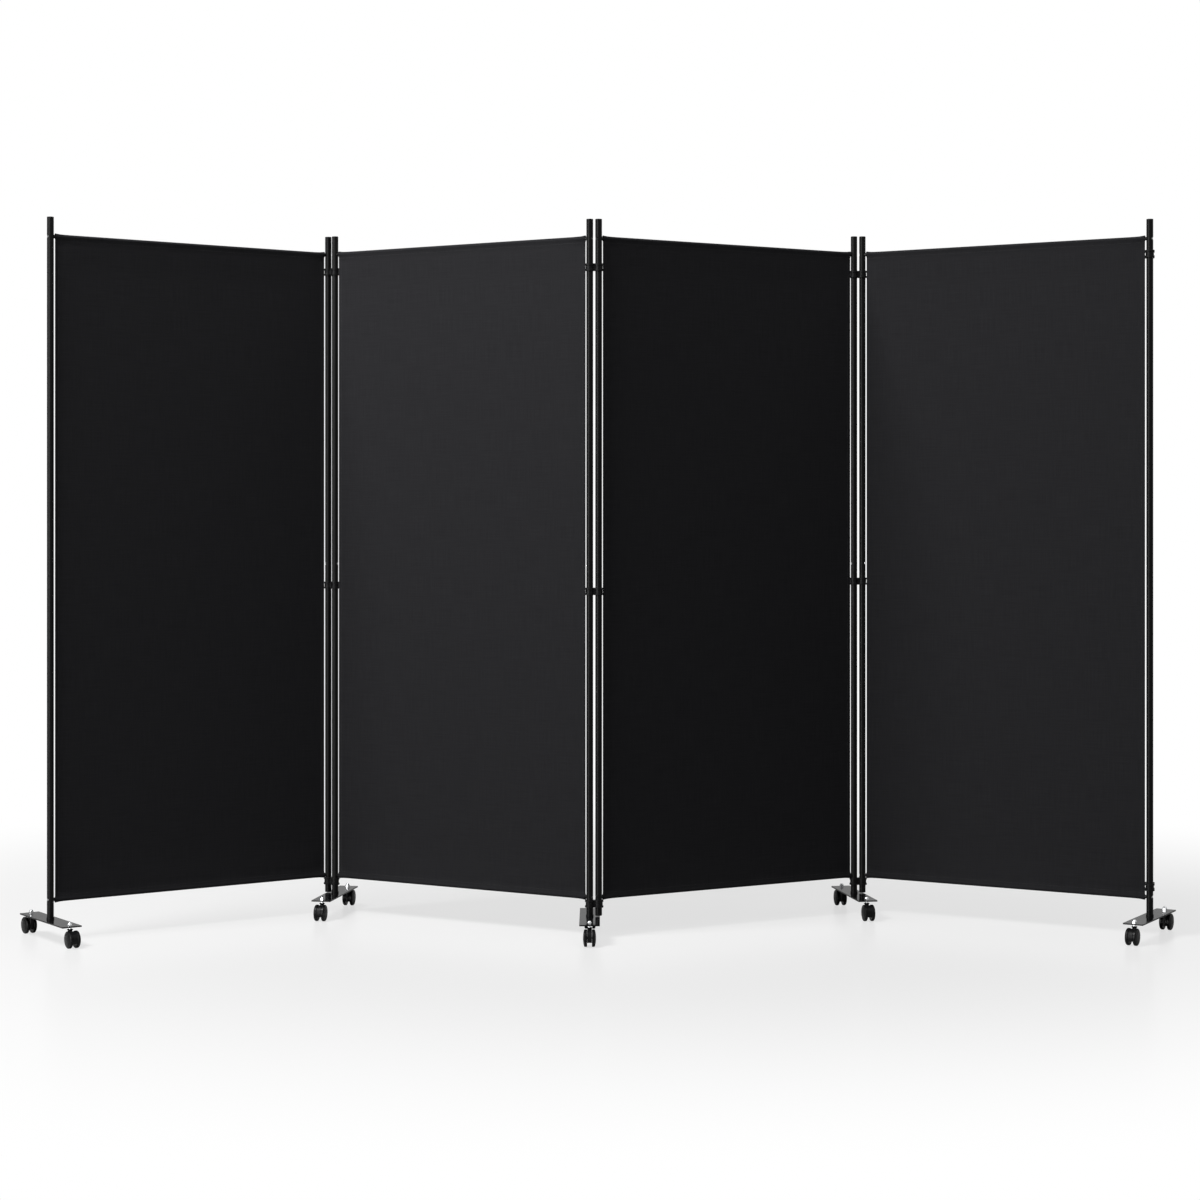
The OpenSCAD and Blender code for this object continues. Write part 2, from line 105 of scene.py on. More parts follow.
def linear(hex_colour: str) -> Colour:
    """Turn an sRGB hex colour into linear values for a shader's socket, by the standard's curve.

    Args:
        hex_colour: A colour such as "#2a2a2c".

    Returns:
        Linear red, green and blue, and an alpha of 1.
    """
    values = [int(hex_colour[i : i + 2], 16) / 255 for i in (1, 3, 5)]
    red, green, blue = (
        v / 12.92 if v <= 0.04045 else ((v + 0.055) / 1.055) ** 2.4 for v in values
    )
    return red, green, blue, 1.0


def add_node(
    tree: bpy.types.NodeTree,
    kind: str,
    settings: dict[str | int, object] | None = None,
    links: dict[str | int, Socket] | None = None,
) -> bpy.types.Node:
    """Add one node with its settings and links.

    Args:
        tree: The node tree to add to.
        kind: The node's type, such as "ShaderNodeMath".
        settings: Attribute names, or input names and numbers, with their values.
        links: Input names or numbers with the output sockets that feed them.

    Returns:
        The new node.
    """
    node = tree.nodes.new(kind)
    for name, value in (settings or {}).items():
        if isinstance(name, str) and hasattr(node, name):
            setattr(node, name, value)
        else:
            node.inputs[name].default_value = value
    for name, socket in (links or {}).items():
        tree.links.new(socket, node.inputs[name])
    return node


def compute(tree: bpy.types.NodeTree, operation: str, *terms: Socket | float) -> Socket:
    """Add one step of arithmetic.

    Args:
        tree: The node tree to add to.
        operation: The operation's name, such as "MULTIPLY".
        terms: Its terms in order, each an output socket or a number.

    Returns:
        The socket with the result.
    """
    numbers = {i: term for i, term in enumerate(terms) if not isinstance(term, Socket)}
    sockets = {i: term for i, term in enumerate(terms) if isinstance(term, Socket)}
    return add_node(tree, "ShaderNodeMath", {"operation": operation, **numbers}, sockets).outputs[0]


def remap(
    tree: bpy.types.NodeTree,
    value: Socket,
    source: tuple[float, float],
    target: tuple[float, float] = (0.0, 1.0),
    curve: Curve = Curve.STRAIGHT,
) -> Socket:
    """Map a value from one range to another, and hold it at the ends.

    Args:
        tree: The node tree to add to.
        value: The socket with the value.
        source: The value's range.
        target: What the ends of that range become.
        curve: How the result runs between them.

    Returns:
        The socket with the result.
    """
    ends = {"From Min": source[0], "From Max": source[1], "To Min": target[0], "To Max": target[1]}
    settings = {"interpolation_type": curve.value, **ends}
    return add_node(tree, "ShaderNodeMapRange", settings, {"Value": value}).outputs["Result"]


def blend(tree: bpy.types.NodeTree, share: Socket, first: Colour, second: Colour) -> Socket:
    """Blend two colours.

    Args:
        tree: The node tree to add to.
        share: The socket with the second colour's share.
        first: The colour at a share of 0.
        second: The colour at a share of 1.

    Returns:
        The socket with the blended colour.
    """
    settings = {"data_type": "RGBA", 6: first, 7: second}
    return add_node(tree, "ShaderNodeMix", settings, {"Factor": share}).outputs[2]


# Finishes


class Pattern(Enum):
    """The coordinates that a finish's pattern is laid out in."""

    OBJECT = "Object"
    UV = "UV"


@dataclass(frozen=True)
class Surface:
    """A material's shader while its finish is drawn, with the coordinates its patterns lie in."""

    tree: bpy.types.NodeTree
    shader: bpy.types.Node
    place: Socket

    def feed(self, socket: Socket, name: str) -> None:
        """Link a pattern to one of the shader's inputs."""
        self.tree.links.new(socket, self.shader.inputs[name])

    def noise(self, size: float, detail: float, roughness: float = 0.5) -> Socket:
        """Add soft noise.

        Args:
            size: The noise's typical size.
            detail: How many finer octaves it has.
            roughness: How strong the finer octaves are.

        Returns:
            The socket with the noise.
        """
        settings = {"Scale": 1 / size, "Detail": detail, "Roughness": roughness}
        node = add_node(self.tree, "ShaderNodeTexNoise", settings, {"Vector": self.place})
        return node.outputs["Fac"]

    def vary(self, size: float, shades: tuple[str, str], rough: tuple[float, float]) -> None:
        """Let colour and roughness drift softly over the surface.

        Args:
            size: The drift's typical size.
            shades: The darkest and the lightest colour.
            rough: The lowest and the highest roughness.
        """
        drift = self.noise(size, DRIFT_DETAIL, DRIFT_ROUGHNESS)
        darkest, lightest = (linear(shade) for shade in shades)
        self.feed(blend(self.tree, drift, darkest, lightest), "Base Color")
        self.feed(remap(self.tree, drift, NOISE_RANGE, rough), "Roughness")

    def raise_by(self, height: Socket, depth: float, strength: float = 1.0) -> None:
        """Raise the surface by a pattern of heights.

        Args:
            height: The pattern's height, in shares of the depth.
            depth: How far a height of 1 stands out.
            strength: How much of it shows, from 0 to 1.
        """
        settings = {"Strength": strength, "Distance": depth}
        bump = add_node(self.tree, "ShaderNodeBump", settings, {"Height": height})
        self.feed(bump.outputs["Normal"], "Normal")


@dataclass(frozen=True, kw_only=True)
class Finish:
    """A real material with the way that its surface was made.

    Each kind of finish adds its own pattern to the shader in draw.
    """

    name: str
    colour: str
    roughness: float
    specular: float = 0.5
    pattern: Pattern = Pattern.OBJECT

    def material(self) -> bpy.types.Material:
        """Make this finish's material the first time that it is asked for.

        Returns:
            The material.
        """
        made = bpy.data.materials.get(self.name)
        if made:
            return made
        made = bpy.data.materials.new(self.name)
        made.diffuse_color = linear(self.colour)
        made.use_nodes = True
        tree = made.node_tree
        tree.nodes.clear()
        levels = {
            "Base Color": linear(self.colour),
            "Roughness": self.roughness,
            "Specular IOR Level": self.specular,
        }
        shader = add_node(tree, "ShaderNodeBsdfPrincipled", levels)
        add_node(tree, "ShaderNodeOutputMaterial", links={"Surface": shader.outputs["BSDF"]})
        place = add_node(tree, "ShaderNodeTexCoord").outputs[self.pattern.value]
        self.draw(Surface(tree, shader, place))
        return made

    def draw(self, surface: Surface) -> None:
        """Add the finish's own pattern. The plain finish has none."""


@dataclass(frozen=True, kw_only=True)
class WovenPolyester(Finish):
    """Piece-dyed plain-weave polyester, pulled tight: matt, with a faint sheen at a low angle.

    The real threads are about 0.5 mm apart, which no picture of the whole screen shows. They are
    drawn 1.6 mm apart so that a close view shows them.
    """

    name: str = "woven polyester"
    colour: str = "#222224"
    roughness: float = 0.85
    specular: float = 0.06
    pattern: Pattern = Pattern.UV
    shades: tuple[str, str] = ("#1f1f21", "#252527")
    sheen: float = 0.02
    sheen_roughness: float = 0.45
    thread: float = 1.6 * MM
    crown: float = 0.2 * MM
    crown_strength: float = 0.5
    lift: float = 0.5
    slub_scales: tuple[tuple[float, float, float], ...] = ((420.0, 14.0, 1.0), (14.0, 420.0, 1.0))
    slub_detail: float = 2.0
    slub_range: tuple[float, float] = (0.7, 1.3)

    def draw(self, surface: Surface) -> None:
        """Draw warp and weft passing over each other, and the uneven dye of their slubs.

        Args:
            surface: The shader and its coordinates.
        """
        surface.shader.inputs["Sheen Weight"].default_value = self.sheen
        surface.shader.inputs["Sheen Roughness"].default_value = self.sheen_roughness
        tree = surface.tree
        split = add_node(tree, "ShaderNodeSeparateXYZ", links={"Vector": surface.place})
        across, along = split.outputs["X"], split.outputs["Y"]
        warp = self.threads(tree, across, along, 0.0)
        weft = self.threads(tree, along, across, math.pi)
        surface.raise_by(compute(tree, "MAXIMUM", warp, weft), self.crown, self.crown_strength)
        slubs = compute(tree, "ADD", *(self.slubs(surface, scale) for scale in self.slub_scales))
        shade = remap(tree, slubs, self.slub_range)
        darkest, lightest = (linear(colour) for colour in self.shades)
        surface.feed(blend(tree, shade, darkest, lightest), "Base Color")

    def slubs(self, surface: Surface, scale: tuple[float, float, float]) -> Socket:
        """Draw the thicker and thinner lengths of one set of threads.

        Args:
            surface: The shader and its coordinates.
            scale: The noise's scale along each axis, low along the threads and high across them.

        Returns:
            The socket with the thickness.
        """
        stretch = add_node(
            surface.tree, "ShaderNodeMapping", {"Scale": scale}, {"Vector": surface.place}
        )
        settings = {"Scale": 1.0, "Detail": self.slub_detail}
        links = {"Vector": stretch.outputs["Vector"]}
        return add_node(surface.tree, "ShaderNodeTexNoise", settings, links).outputs["Fac"]

    def threads(
        self, tree: bpy.types.NodeTree, across: Socket, along: Socket, phase: float
    ) -> Socket:
        """Draw the heights of one set of threads.

        Args:
            tree: The material's node tree.
            across: The coordinate across the threads.
            along: The coordinate along them.
            phase: Where the first thread passes over the other set.

        Returns:
            The socket with the height.
        """
        turns = compute(tree, "MULTIPLY", across, 1 / self.thread)
        wave = compute(tree, "SINE", compute(tree, "MULTIPLY", turns, math.pi))
        bulge = compute(tree, "ABSOLUTE", wave)
        shift = compute(tree, "MULTIPLY_ADD", compute(tree, "FLOOR", turns), math.pi, phase)
        run = compute(tree, "MULTIPLY", along, math.pi / self.thread)
        over = compute(tree, "SINE", compute(tree, "ADD", run, shift))
        return compute(tree, "ADD", bulge, compute(tree, "MULTIPLY", over, self.lift))


@dataclass(frozen=True, kw_only=True)
class GrainedFinish(Finish):
    """A surface with a fine even grain, from a thread's twist, a spray gun or a mould."""

    grain: float
    grain_depth: float
    grain_detail: float = 2.0

    def draw(self, surface: Surface) -> None:
        """Add the grain."""
        surface.raise_by(surface.noise(self.grain, self.grain_detail), self.grain_depth)


@dataclass(frozen=True, kw_only=True)
class HardFinish(GrainedFinish):
    """A coated, plated or moulded surface: grained, with a soft drift in its colour and its gloss.

    Its roughness drifts from a step below the finish's own to a step above it.
    """

    shades: tuple[str, str]
    drift: float
    smoother: float
    rougher: float
    metallic: float = 0.0

    def draw(self, surface: Surface) -> None:
        """Add the grain and the drift.

        Args:
            surface: The shader and its coordinates.
        """
        super().draw(surface)
        surface.shader.inputs["Metallic"].default_value = self.metallic
        rough = (self.roughness - self.smoother, self.roughness + self.rougher)
        surface.vary(self.drift, self.shades, rough)


@dataclass(frozen=True, kw_only=True)
class SewingThread(GrainedFinish):
    """Twisted polyester thread, a little shinier than the cloth that it holds."""

    name: str = "twisted polyester thread"
    colour: str = "#202022"
    roughness: float = 0.65
    grain: float = 0.25 * MM
    grain_depth: float = 0.04 * MM


@dataclass(frozen=True, kw_only=True)
class PowderCoat(HardFinish):
    """Powder-coated steel tube: an even satin skin with a fine orange peel."""

    name: str = "satin powder coat on steel tube"
    colour: str = "#0e0e0e"
    roughness: float = 0.36
    specular: float = 0.1
    grain: float = 0.9 * MM
    grain_depth: float = 0.012 * MM
    shades: tuple[str, str] = ("#0b0b0b", "#101010")
    drift: float = 60 * MM
    smoother: float = 0.04
    rougher: float = 0.05


@dataclass(frozen=True, kw_only=True)
class GlossEnamel(HardFinish):
    """Stoved enamel on steel plate: smooth enough to mirror the post above it, in long waves."""

    name: str = "gloss enamel on steel plate"
    colour: str = "#0d0d0e"
    roughness: float = 0.12
    specular: float = 0.14
    grain: float = 6 * MM
    grain_depth: float = 0.015 * MM
    grain_detail: float = 1.0
    shades: tuple[str, str] = ("#0a0a0b", "#0f0f10")
    drift: float = 25 * MM
    smoother: float = 0.03
    rougher: float = 0.05


@dataclass(frozen=True, kw_only=True)
class MouldedPlastic(HardFinish):
    """Injection-moulded plastic: nearly matt black, from the mould's spark-eroded grain."""

    name: str = "moulded polypropylene"
    colour: str = "#0c0c0d"
    roughness: float = 0.42
    specular: float = 0.12
    grain: float = 0.5 * MM
    grain_depth: float = 0.03 * MM
    shades: tuple[str, str] = ("#09090a", "#0e0e0f")
    drift: float = 12 * MM
    smoother: float = 0.06
    rougher: float = 0.06


@dataclass(frozen=True, kw_only=True)
class ZincPlate(HardFinish):
    """Bright zinc on steel, clear passivated: slightly blue, with a fine crystalline drift."""

    name: str = "bright zinc plate"
    colour: str = "#eeeff1"
    roughness: float = 0.2
    grain: float = 0.7 * MM
    grain_depth: float = 0.01 * MM
    shades: tuple[str, str] = ("#e6e8eb", "#f6f7f7")
    drift: float = 3 * MM
    smoother: float = 0.06
    rougher: float = 0.1
    metallic: float = 1.0


CLOTH = WovenPolyester()
THREAD = SewingThread()
SLOT_FINISHES: dict[str, Finish] = {
    "coated_steel": PowderCoat(),
    "gloss_coated_steel": GlossEnamel(),
    "black_plastic": MouldedPlastic(),
    "wheel_plastic": MouldedPlastic(name="moulded nylon", roughness=0.34, grain=1.4 * MM),
    "zinc_plated_steel": ZincPlate(),
}


# Modelling


def deselect_all() -> None:
    """Leave edit mode and deselect every object."""
    if bpy.context.object and bpy.context.object.mode != "OBJECT":
        bpy.ops.object.mode_set(mode="OBJECT")
    for piece in bpy.context.selected_objects:
        piece.select_set(False)


def pick(*pieces: bpy.types.Object) -> None:
    """Select these pieces alone, with the first one active.

    Args:
        pieces: The pieces to select.
    """
    deselect_all()
    for piece in pieces:
        piece.select_set(True)
    bpy.context.view_layer.objects.active = pieces[0]


def apply_modifier(piece: bpy.types.Object, kind: str, **settings: object) -> None:
    """Add one modifier to a piece and apply it.

    Args:
        piece: The piece to change.
        kind: The modifier's type, such as "SOLIDIFY".
        settings: The modifier's settings.
    """
    pick(piece)
    modifier = piece.modifiers.new(kind.title(), kind)
    for name, value in settings.items():
        setattr(modifier, name, value)
    bpy.ops.object.modifier_apply(modifier=modifier.name)


def copy_piece(piece: bpy.types.Object, name: str) -> bpy.types.Object:
    """Copy a piece, with a mesh of its own.

    Args:
        piece: The piece to copy.
        name: The copy's name.

    Returns:
        The copy.
    """
    pick(piece)
    bpy.ops.object.duplicate(linked=False)
    made = bpy.context.object
    made.name = name
    return made


def settle(piece: bpy.types.Object, place: Matrix) -> None:
    """Move a finished piece's place into its mesh, so that its object sits at the origin unturned.

    Args:
        piece: The finished piece.
        place: Where it goes.
    """
    piece.data.transform(place @ piece.matrix_world)
    piece.matrix_world = Matrix.Identity(4)
    piece.data.update()


def dress(piece: bpy.types.Object, finish: Finish) -> None:
    """Give a piece one finish all over."""
    piece.data.materials.clear()
    piece.data.materials.append(finish.material())


def ease(share: float) -> float:
    """Return a share, kept from 0 to 1, with a soft start and end."""
    share = min(max(share, 0.0), 1.0)
    return share * share * (3 - 2 * share)


class EditMode:
    """Shapes one piece in edit mode, where each operator acts on what was picked by its place."""

    def __init__(self, piece: bpy.types.Object) -> None:
        """Remember the piece."""
        self.piece = piece

    def __enter__(self) -> "EditMode":
        """Enter edit mode with nothing selected.

        Returns:
            This helper.
        """
        pick(self.piece)
        bpy.ops.object.mode_set(mode="EDIT")
        bpy.ops.mesh.select_all(action="DESELECT")
        return self

    def __exit__(self, *_: object) -> None:
        """Leave edit mode."""
        bpy.ops.object.mode_set(mode="OBJECT")

    def pick_edges(self, test: Callable[[Vector], bool]) -> None:
        """Select the edges whose two ends both pass a test of their place.

        Args:
            test: Says whether a vertex's place belongs to the choice.
        """
        bpy.ops.mesh.select_all(action="DESELECT")
        bpy.ops.mesh.select_mode(type="EDGE")
        mesh = bmesh.from_edit_mesh(self.piece.data)
        for edge in [e for e in mesh.edges if all(test(v.co) for v in e.verts)]:
            edge.select_set(True)
        bmesh.update_edit_mesh(self.piece.data)

    def pick_faces(self, test: Callable[[Vector], bool]) -> None:
        """Select the faces whose normal passes a test.

        Args:
            test: Says whether a face with that normal belongs to the choice.
        """
        bpy.ops.mesh.select_all(action="DESELECT")
        bpy.ops.mesh.select_mode(type="FACE")
        mesh = bmesh.from_edit_mesh(self.piece.data)
        for face in [f for f in mesh.faces if test(f.normal)]:
            face.select_set(True)
        bmesh.update_edit_mesh(self.piece.data)

    def extrude(self, step: tuple[float, float, float]) -> None:
        """Extrude what is selected by a step."""
        bpy.ops.mesh.extrude_region_move(TRANSFORM_OT_translate={"value": step})

    def move_selected(self, shift: Callable[[Vector], Vector]) -> None:
        """Move each selected vertex by a shift that depends on its place.

        Args:
            shift: Gives the shift of a vertex at a place.
        """
        mesh = bmesh.from_edit_mesh(self.piece.data)
        for vertex in mesh.verts:
            if vertex.select:
                vertex.co += shift(vertex.co)
        bmesh.update_edit_mesh(self.piece.data)


# Covers


@dataclass(frozen=True)
class PanelPlace:
    """Where a panel stands: the axes of its two posts."""

    number: int
    left: Vector
    right: Vector

    @property
    def matrix(self) -> Matrix:
        """Work out how a panel drawn along +X from the origin gets to its place.

        Returns:
            The turn and the shift.
        """
        run = self.right - self.left
        turn = math.atan2(run.y, run.x)
        return Matrix.Translation((self.left.x, self.left.y, 0)) @ Matrix.Rotation(turn, 4, "Z")

    @property
    def pitch(self) -> float:
        """The distance between the axes of the posts."""
        return (self.right - self.left).xy.length


@dataclass(frozen=True)
class Wave:
    """One slight wave of the cloth: its runs across and along the sheet, its shift and its size.

    The runs and the shift are in radians. RANGES holds the limits of all four, in that order.
    """

    across: float
    along: float
    shift: float
    size: float

    RANGES: ClassVar[tuple[tuple[float, float], ...]] = ((3, 9), (2, 6), (0, 6.3), (0.3, 1))

    @classmethod
    def draw(cls, rng: random.Random) -> "Wave":
        """Draw a wave, each of its fields in turn within its limits."""
        return cls(*[rng.uniform(low, high) for low, high in cls.RANGES])

    def at(self, across: float, along: float) -> float:
        """Return the wave's height at a share of the sheet's width and height."""
        return self.size * math.sin(across * self.across + along * self.along + self.shift)


@dataclass(frozen=True)
class Ripples:
    """The cloth's very slight waves over one panel."""

    waves: tuple[Wave, ...]

    @classmethod
    def of_panel(cls, number: int, seed: int = 40, count: int = 5) -> "Ripples":
        """Draw the waves of one panel, the same in every run.

        Args:
            number: The panel's number.
            seed: Where the panels' draws start.
            count: How many waves the panel has.

        Returns:
            The panel's ripples.
        """
        rng = random.Random(seed + number)
        return cls(tuple(Wave.draw(rng) for _ in range(count)))

    def at(self, across: float, along: float) -> float:
        """Return the mean height at a share of the sheet's width and height."""
        return sum(wave.at(across, along) for wave in self.waves) / len(self.waves)


@dataclass(frozen=True)
class StitchRow:
    """A row of stitches: its first stitch, the step to the next one, and their number."""

    start: Vector
    step: Vector
    count: int


@dataclass(frozen=True)
class Sewing:
    """The thread and its stitches, each of which lies flat and dips into the cloth at both ends.

    The lengths of the flat part and of a dip are shares of the stitch. The dip and the height that
    the thread stands proud are shares of the thread's radius.
    """

    radius: float = 0.2 * MM
    sides: int = 6
    stitch: float = 2.2 * MM
    pitch: float = 3.2 * MM
    flat_run: float = 0.6
    dip_run: float = 0.2
    dip: float = 1.1
    dip_taper: float = 0.6
    proud: float = 0.4

    @property
    def height(self) -> float:
        """The height of the thread's axis over the cloth."""
        return self.proud * self.radius

    def sew(self, row: StitchRow) -> bpy.types.Object:
        """Model one row of stitches.

        Args:
            row: Where the row runs.

        Returns:
            The row as one piece.
        """
        deselect_all()
        bpy.ops.mesh.primitive_cylinder_add(
            vertices=self.sides,
            radius=self.radius,
            depth=self.flat_run * self.stitch,
            end_fill_type="NGON",
        )
        line = bpy.context.object
        inwards = 1 if row.start.y < 0 else -1
        with EditMode(line) as edit:
            for end in (1, -1):
                edit.pick_faces(lambda normal, end=end: normal.z * end > FACING)
                run = end * self.dip_run * self.stitch
                edit.extrude((0, self.dip * self.radius * inwards, run))
                bpy.ops.transform.resize(value=(self.dip_taper, self.dip_taper, 1))
            bpy.ops.mesh.select_all(action="SELECT")
            if row.step.x:
                bpy.ops.transform.rotate(
                    value=QUARTER_TURN, orient_axis="Y", center_override=(0, 0, 0)
                )
            bpy.ops.transform.translate(value=row.start)
        apply_modifier(
            line,
            "ARRAY",
            count=row.count,
            use_relative_offset=False,
            use_constant_offset=True,
            constant_offset_displace=row.step,
        )
        return line


@dataclass(frozen=True)
class Sleeve:
    """One sleeve: its rail's height, its seam's height, and 1 at the top or -1 at the bottom."""

    rail: float
    seam: float
    way: int

    def turn_at(self, point: Vector) -> float:
        """Return how far round the rail a point lies, from the side that faces the sheet."""
        return math.atan2(-point.y, self.way * (self.rail - point.z)) % FULL_TURN


@dataclass
class FabricCover:
    """A panel's cover: a stretched sheet, a sleeve round each rail, side hems and rows of stitches.

    The cover and its stitches are modelled once, with the left post on the Z axis, the panel along
    +X and its front towards -Y. Each panel gets a copy, pulled into its own slight ripples. The
    fields that end in layers, and hem_round, count thicknesses of the cloth. The creases are in
    degrees.
    """

    pitch: float
    bottom_rail: float
    top_rail: float
    post_clear: float = 12 * MM
    cloth: float = 0.4 * MM
    columns: int = 60
    rows: int = 110
    sleeve_r: float = 4.7 * MM
    sleeve_drop: float = 13 * MM
    sleeve_slack: float = 1.0 * MM
    sleeve_share: float = 0.75
    arc_steps: int = 20
    seam_allowance: float = 5 * MM
    flap_layers: float = 1.1
    hem_width: float = 10 * MM
    hem_seam: float = 8 * MM
    hem_round: float = 0.4
    hem_layers: float = 1.06
    seam_stitch: float = 1.2 * MM
    row_margin: float = 3 * MM
    back_layers: float = 1.6
    ear: float = 2.0 * MM
    ear_reach: float = 9 * MM
    forward: float = 2.5 * MM
    forward_reach: float = 80 * MM
    forward_edge: float = 40 * MM
    ripple: float = 0.35 * MM
    cover_crease: float = 35.0
    thread_crease: float = 50.0
    sewing: Sewing = Sewing()

    def __post_init__(self) -> None:
        """Work out the sheet's edges and seams."""
        self.low_x = self.post_clear
        self.high_x = self.pitch - self.post_clear
        self.outer = self.sleeve_r + self.cloth / 2
        self.low_seam = self.bottom_rail - self.outer + self.sleeve_drop
        self.high_seam = self.top_rail + self.outer - self.sleeve_drop
        self.side = math.acos(self.sleeve_r / (self.top_rail - self.high_seam))
        self.sleeves = (
            Sleeve(self.top_rail, self.high_seam, 1),
            Sleeve(self.bottom_rail, self.low_seam, -1),
        )

    def sleeve_steps(self) -> list[tuple[float, float]]:
        """Work out how the top edge runs once round its rail and back to the seam.

        Returns:
            The steps, in Y and Z.
        """
        points = [(0.0, self.high_seam)]
        for i in range(self.arc_steps + 1):
            angle = self.side + (FULL_TURN - 2 * self.side) * i / self.arc_steps
            y = -self.sleeve_r * math.sin(angle)
            points.append((y, self.top_rail - self.sleeve_r * math.cos(angle)))
        flap = self.flap_layers * self.cloth
        points += [(flap, self.high_seam), (flap, self.high_seam - self.seam_allowance)]
        return [(b[0] - a[0], b[1] - a[1]) for a, b in zip(points, points[1:])]

    def inward(self, point: Vector) -> Vector:
        """Find the way from the cover's outer face to its inner one, at a point of the cover.

        Args:
            point: A point on the cover.

        Returns:
            A unit vector: backwards on the flat sheet, and towards the rail on a sleeve.
        """
        for sleeve in self.sleeves:
            if sleeve.way * (point.z - sleeve.seam) > TOUCH:
                turn = min(max(sleeve.turn_at(point), self.side), FULL_TURN - self.side)
                return Vector((0, math.sin(turn), sleeve.way * math.cos(turn)))
        return Vector((0, 1, 0))

    def on_flap(self, point: Vector) -> bool:
        """Say whether a point lies on the allowance of cloth behind a sleeve's seam."""
        between_seams = self.low_seam - TOUCH < point.z < self.high_seam + TOUCH
        return between_seams and point.y > self.cloth / 2

    def pull(self, piece: bpy.types.Object, ripples: Ripples) -> None:
        """Move a piece of the cover as the cloth's tension does.

        The sleeves stand a little off their rails, and more so at their ends. Near its seams the
        sheet comes forward, because the sleeves are folded to the back, but not at its side edges.
        The rest of it ripples very slightly.

        Args:
            piece: A piece of the flat cover.
            ripples: The panel's ripples.
        """
        width, height = self.high_x - self.low_x, self.high_seam - self.low_seam
        rise = self.top_rail + self.outer - self.high_seam
        drop = self.low_seam - self.bottom_rail + self.outer
        for vertex in piece.data.vertices:
            point = vertex.co
            edge = min(point.x - self.low_x, self.high_x - point.x)
            taller = self.sleeve_slack + self.ear * math.exp(-max(edge, 0) / self.ear_reach)
            up = max(0.0, point.z - self.high_seam) / rise
            down = max(0.0, self.low_seam - point.z) / drop
            shares = ((point.x - self.low_x) / width, (point.z - self.low_seam) / height)
            calm = math.prod(math.sin(math.pi * min(max(share, 0.0), 1.0)) for share in shares)
            wave = self.ripple * calm * ripples.at(*shares)
            from_seam = min(point.z - self.low_seam, self.high_seam - point.z)
            fade = from_seam / self.forward_reach if from_seam > 0 else 2 * (up + down)
            forward = self.forward * ease(1 - fade) * ease(edge / self.forward_edge)
            vertex.co = point + Vector((0, wave - forward, taller * (up - down)))

    def cut(self) -> bpy.types.Object:
        """Model the flat cover with its sleeves and hems, one cloth thin.

        Returns:
            The cover, still without its thickness.
        """
        deselect_all()
        bpy.ops.mesh.primitive_grid_add(
            x_subdivisions=self.columns, y_subdivisions=self.rows, size=1
        )
        cover = bpy.context.object
        size = (self.high_x - self.low_x, self.high_seam - self.low_seam, 1)
        middle = ((self.low_x + self.high_x) / 2, 0, (self.low_seam + self.high_seam) / 2)
        with EditMode(cover) as edit:
            bpy.ops.mesh.select_all(action="SELECT")
            bpy.ops.transform.resize(value=size)
            bpy.ops.transform.rotate(
                value=QUARTER_TURN, orient_axis="X", center_override=(0, 0, 0)
            )
            bpy.ops.transform.translate(value=middle)
            for sleeve in self.sleeves:
                edit.pick_edges(
                    lambda p, seam=sleeve.seam: abs(p.z - seam) < NEAR and abs(p.y) < NEAR
                )
                for y, z in self.sleeve_steps():
                    edit.extrude((0, y, sleeve.way * z))
            self.fold_hems(edit)
            bpy.ops.mesh.select_all(action="SELECT")
            bpy.ops.mesh.normals_make_consistent(inside=False)
        self.lay_out_weave(cover)
        return cover

    def fold_hems(self, edit: EditMode) -> None:
        """Fold a hem inwards along both sides, all the way round the sleeves.

        Args:
            edit: The cover in edit mode.
        """
        bend, depth = self.hem_round * self.cloth, self.hem_layers * self.cloth / 2
        folds = ((-bend, depth), (bend, depth), (self.hem_width / 2, 0), (self.hem_width / 2, 0))
        for edge_x, way in ((self.low_x, 1), (self.high_x, -1)):
            edit.pick_edges(lambda p, x=edge_x: abs(p.x - x) < TOUCH and not self.on_flap(p))
            for run, inset in folds:
                edit.extrude((0, 0, 0))
                edit.move_selected(
                    lambda p, run=way * run, inset=inset: Vector((run, 0, 0))
                    + self.inward(p) * inset
                )

    def lay_out_weave(self, cover: bpy.types.Object) -> None:
        """Lay the weave out in metres: across the cover, and up the sheet and round the sleeves.

        Args:
            cover: The flat cover.
        """
        layer = cover.data.uv_layers.active or cover.data.uv_layers.new(name="weave")
        for loop in cover.data.loops:
            point = cover.data.vertices[loop.vertex_index].co
            up = point.z
            for sleeve in self.sleeves:
                if sleeve.way * (point.z - sleeve.seam) > 0:
                    up = sleeve.seam + sleeve.way * self.sleeve_r * sleeve.turn_at(point)
            layer.data[loop.index].uv = (point.x, up)

    def stitch_rows(self) -> list[StitchRow]:
        """Work out where the stitches run, on the front and the back of every seam.

        Returns:
            The rows.
        """
        pitch, margin = self.sewing.pitch, self.row_margin
        front = -(self.cloth / 2 + self.sewing.height)
        back = self.back_layers * self.cloth + self.sewing.height
        across = int((self.high_x - self.low_x - margin) / pitch)
        start_x = (self.low_x + self.high_x - (across - 1) * pitch) / 2
        low, high = self.low_seam + margin, self.high_seam - margin
        up = int((high - low) / pitch)
        rows = []
        for sleeve in self.sleeves:
            seam = sleeve.seam - sleeve.way * self.seam_stitch
            for y in (front, back):
                rows.append(StitchRow(Vector((start_x, y, seam)), Vector((pitch, 0, 0)), across))
        for x in (self.low_x + self.hem_seam, self.high_x - self.hem_seam):
            for y in (front, back):
                rows.append(StitchRow(Vector((x, y, low)), Vector((0, 0, pitch)), up))
        return rows

